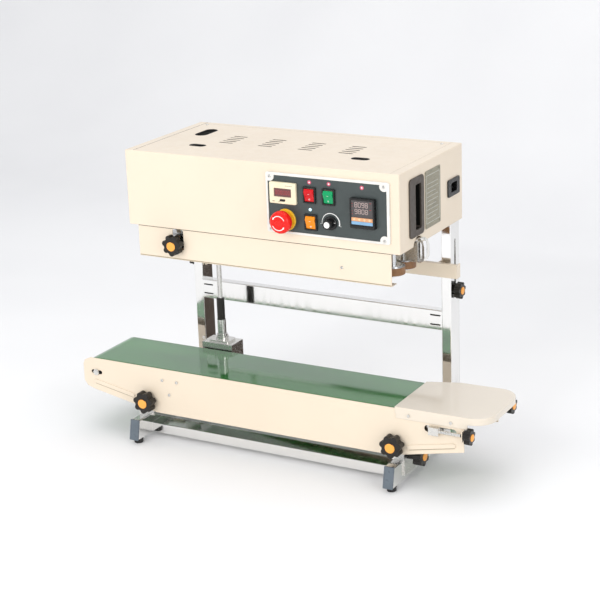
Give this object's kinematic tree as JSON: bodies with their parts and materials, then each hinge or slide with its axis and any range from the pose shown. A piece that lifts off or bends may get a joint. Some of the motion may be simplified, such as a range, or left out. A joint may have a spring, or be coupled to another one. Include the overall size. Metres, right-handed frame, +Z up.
{
  "type": "continuous band sealer",
  "caption": "Bench-top continuous band sealer: height-adjustable sealing head on a tube stand above a green belt conveyor with an infeed tray.",
  "frame": {"origin": "floor level, at the centre of the machine's overall plan outline", "axes": "+Z up, front with the control panel faces -Y, infeed tray at +X, bags travel towards -X"},
  "size_m": [0.886, 0.317, 0.5936],
  "materials": {
    "chrome_tube": "polished",
    "grey_plastic": "satin",
    "black_rubber": "matte",
    "bright_steel": "zinc plated, bright",
    "black_plastic": "moulded satin",
    "cream_paint": "powder coat, satin",
    "tray_paint": "gloss paint",
    "green_belt": "glossy PVC",
    "black_rubber_roller": "satin",
    "turned_steel": "turned",
    "light_grey_plastic": "satin",
    "dark_face": "satin film",
    "ivory_plastic": "satin",
    "yellow_plastic": "satin",
    "red_plastic": "gloss",
    "black_gloss": "gloss",
    "red_rocker": "translucent gloss",
    "green_rocker": "translucent gloss",
    "amber_rocker": "translucent gloss",
    "brown_grey_plastic": "satin",
    "rating_aluminium": "anodised",
    "silicone": "satin",
    "aluminium_wheel": "turned",
    "ptfe_band": "PTFE coated glass cloth",
    "brass_block": "machined",
    "aluminium_block": "machined",
    "motor_grey": "satin",
    "chain_steel": "oiled"
  },
  "bodies": {
    "stand": {"foot_frame": "chrome_tube", "upright_frame": "chrome_tube", "tube_end_caps": "grey_plastic", "rubber_feet": "black_rubber", "conveyor_saddles": "bright_steel"},
    "saddle_knob": {"saddle_clamp_knob": "black_plastic"},
    "conveyor": {"conveyor_front_panel": "cream_paint", "conveyor_rear_panel": "cream_paint", "slider_bed": "bright_steel", "cross_rods": "bright_steel", "infeed_tray": "tray_paint", "conveyor_belt": "green_belt", "gear_bracket": "bright_steel", "conveyor_screws": "bright_steel"},
    "nose_roller": {"nose_roller": "black_rubber_roller"},
    "drive_drum": {"drive_drum": "turned_steel"},
    "tension_carriage": {"tension_carriage": "bright_steel"},
    "tension_roller": {"tension_roller": "turned_steel"},
    "front_tension_knob": {"front_tension_knob": "black_plastic"},
    "rear_tension_knob": {"rear_tension_knob": "black_plastic"},
    "left_conveyor_knob": {"left_conveyor_knob": "black_plastic"},
    "right_conveyor_knob": {"right_conveyor_knob": "black_plastic"},
    "lower_drive_shaft": {"lower_drive_shaft": "turned_steel", "shaft_sleeve": "black_plastic"},
    "head": {"head_chassis": "cream_paint", "head_cover": "cream_paint", "front_guard": "cream_paint", "panel_frame": "light_grey_plastic", "panel_face": "dark_face", "head_screws": "bright_steel", "counter": "ivory_plastic", "e_stop_base": "yellow_plastic", "switch_bezels": "black_gloss", "temperature_controller": "black_gloss", "side_grips": "brown_grey_plastic", "rating_plate": "rating_aluminium", "power_inlet": "black_gloss", "shaft_bearings": "bright_steel", "sealing_bands": "ptfe_band", "heating_blocks": "brass_block", "cooling_blocks": "aluminium_block", "gear_motor": "motor_grey", "transfer_chain": "chain_steel", "bag_guides": "bright_steel"},
    "counter_reset_button": {"counter_reset_button": "black_plastic"},
    "e_stop_button": {"e_stop_button": "red_plastic"},
    "red_rocker": {"red_rocker": "red_rocker"},
    "green_rocker": {"green_rocker": "green_rocker"},
    "amber_rocker": {"amber_rocker": "amber_rocker"},
    "speed_knob": {"speed_knob": "black_gloss"},
    "pressure_knob": {"pressure_knob": "black_plastic"},
    "pressure_carriage": {"pressure_carriage": "bright_steel"},
    "front_pressure_roller": {"front_pressure_roller": "silicone"},
    "rear_pressure_roller": {"rear_pressure_roller": "silicone"},
    "front_drive_wheel": {"front_drive_wheel": "aluminium_wheel"},
    "rear_drive_wheel": {"rear_drive_wheel": "aluminium_wheel"},
    "front_driven_wheel": {"front_driven_wheel": "aluminium_wheel"},
    "rear_driven_wheel": {"rear_driven_wheel": "aluminium_wheel"},
    "upper_drive_shaft": {"upper_drive_shaft": "turned_steel"},
    "head_clamp_knobs": {"head_clamp_knobs": "black_plastic"}
  },
  "joints": [
    {"name": "head_lift", "type": "slide", "parent": "stand", "child": "head", "axis": [0, 0, 1], "range_m": [0, 0.09]},
    {"name": "conveyor_lift", "type": "slide", "parent": "stand", "child": "conveyor", "axis": [0, 0, 1], "range_m": [0, 0.02]},
    {"name": "saddle_knob_turn", "type": "hinge", "parent": "stand", "child": "saddle_knob", "pos_m": [0.2756, -0.09, 0.0575], "axis": [1, 0, 0], "range_deg": [-720, 0]},
    {"name": "drum_spin", "type": "hinge", "parent": "conveyor", "child": "drive_drum", "pos_m": [-0.212, 0, 0.092], "axis": [0, 1, 0], "continuous": true},
    {"name": "nose_roller_spin", "type": "hinge", "parent": "conveyor", "child": "nose_roller", "pos_m": [-0.411, 0, 0.124], "axis": [0, 1, 0], "continuous": true},
    {"name": "belt_tension", "type": "slide", "parent": "conveyor", "child": "tension_carriage", "axis": [1, 0, 0], "range_m": [-0.005, 0]},
    {"name": "tension_roller_spin", "type": "hinge", "parent": "tension_carriage", "child": "tension_roller", "pos_m": [0.34, 0, 0.124], "axis": [0, 1, 0], "continuous": true},
    {"name": "front_tension_knob_turn", "type": "hinge", "parent": "conveyor", "child": "front_tension_knob", "pos_m": [0.3985, -0.1215, 0.124], "axis": [1, 0, 0], "range_deg": [-1545, 0]},
    {"name": "rear_tension_knob_turn", "type": "hinge", "parent": "conveyor", "child": "rear_tension_knob", "pos_m": [0.4075, 0.053, 0.124], "axis": [1, 0, 0], "range_deg": [-1545, 0]},
    {"name": "left_conveyor_knob_turn", "type": "hinge", "parent": "conveyor", "child": "left_conveyor_knob", "pos_m": [-0.288, -0.1158, 0.083], "axis": [0, -1, 0], "range_deg": [-720, 0]},
    {"name": "right_conveyor_knob_turn", "type": "hinge", "parent": "conveyor", "child": "right_conveyor_knob", "pos_m": [0.258, -0.1158, 0.083], "axis": [0, -1, 0], "range_deg": [-720, 0]},
    {"name": "lower_shaft_spin", "type": "hinge", "parent": "conveyor", "child": "lower_drive_shaft", "pos_m": [-0.212, 0.051, 0.15], "axis": [0, 0, 1], "continuous": true},
    {"name": "counter_reset_press", "type": "slide", "parent": "head", "child": "counter_reset_button", "axis": [0, 1, 0], "range_m": [0, 0.0012]},
    {"name": "e_stop_press", "type": "slide", "parent": "head", "child": "e_stop_button", "axis": [0, 1, 0], "range_m": [0, 0.004]},
    {"name": "red_rocker_tilt", "type": "hinge", "parent": "head", "child": "red_rocker", "pos_m": [0.0973, -0.117, 0.5401], "axis": [1, 0, 0], "range_deg": [-16, 0]},
    {"name": "green_rocker_tilt", "type": "hinge", "parent": "head", "child": "green_rocker", "pos_m": [0.1363, -0.117, 0.5401], "axis": [1, 0, 0], "range_deg": [-16, 0]},
    {"name": "amber_rocker_tilt", "type": "hinge", "parent": "head", "child": "amber_rocker", "pos_m": [0.0986, -0.117, 0.4896], "axis": [1, 0, 0], "range_deg": [-16, 0]},
    {"name": "speed_knob_turn", "type": "hinge", "parent": "head", "child": "speed_knob", "pos_m": [0.1389, -0.12, 0.492], "axis": [0, 1, 0], "range_deg": [0, 270]},
    {"name": "pressure_knob_turn", "type": "hinge", "parent": "head", "child": "pressure_knob", "pos_m": [-0.202, -0.113, 0.415], "axis": [0, -1, 0], "range_deg": [-1545, 0]},
    {"name": "pressure_release", "type": "slide", "parent": "head", "child": "pressure_carriage", "axis": [0, 1, 0], "range_m": [-0.005, 0]},
    {"name": "front_pressure_roller_spin", "type": "hinge", "parent": "pressure_carriage", "child": "front_pressure_roller", "pos_m": [-0.202, -0.05105, 0.401], "axis": [0, 0, 1], "continuous": true},
    {"name": "rear_pressure_roller_spin", "type": "hinge", "parent": "head", "child": "rear_pressure_roller", "pos_m": [-0.202, -0.02895, 0.401], "axis": [0, 0, 1], "continuous": true},
    {"name": "front_drive_wheel_spin", "type": "hinge", "parent": "head", "child": "front_drive_wheel", "pos_m": [-0.253, -0.06295, 0.401], "axis": [0, 0, 1], "continuous": true},
    {"name": "rear_drive_wheel_spin", "type": "hinge", "parent": "head", "child": "rear_drive_wheel", "pos_m": [-0.253, -0.01705, 0.401], "axis": [0, 0, 1], "continuous": true},
    {"name": "front_driven_wheel_spin", "type": "hinge", "parent": "head", "child": "front_driven_wheel", "pos_m": [0.235, -0.06295, 0.401], "axis": [0, 0, 1], "continuous": true},
    {"name": "rear_driven_wheel_spin", "type": "hinge", "parent": "head", "child": "rear_driven_wheel", "pos_m": [0.235, -0.01705, 0.401], "axis": [0, 0, 1], "continuous": true},
    {"name": "upper_shaft_spin", "type": "hinge", "parent": "head", "child": "upper_drive_shaft", "pos_m": [-0.212, 0.051, 0.3], "axis": [0, 0, 1], "continuous": true},
    {"name": "head_clamp_knobs_turn", "type": "hinge", "parent": "head", "child": "head_clamp_knobs", "pos_m": [-0.015, 0.1295, 0.31], "axis": [1, 0, 0], "range_deg": [-720, 0]}
  ],
  "couplings": [
    {"joint": "nose_roller_spin", "follows": "drum_spin", "ratio": 0.89286},
    {"joint": "tension_roller_spin", "follows": "drum_spin", "ratio": 0.89286},
    {"joint": "lower_shaft_spin", "follows": "drum_spin", "ratio": 1},
    {"joint": "upper_shaft_spin", "follows": "drum_spin", "ratio": 1},
    {"joint": "rear_drive_wheel_spin", "follows": "drum_spin", "ratio": 1},
    {"joint": "rear_driven_wheel_spin", "follows": "drum_spin", "ratio": 1},
    {"joint": "rear_pressure_roller_spin", "follows": "drum_spin", "ratio": 2.2},
    {"joint": "front_drive_wheel_spin", "follows": "drum_spin", "ratio": -1},
    {"joint": "front_driven_wheel_spin", "follows": "drum_spin", "ratio": -1},
    {"joint": "front_pressure_roller_spin", "follows": "drum_spin", "ratio": -2.2},
    {"joint": "front_tension_knob_turn", "follows": "belt_tension", "rad_per_m": 5026.5},
    {"joint": "rear_tension_knob_turn", "follows": "belt_tension", "rad_per_m": 5026.5},
    {"joint": "pressure_knob_turn", "follows": "pressure_release", "rad_per_m": 5026.5}
  ]
}
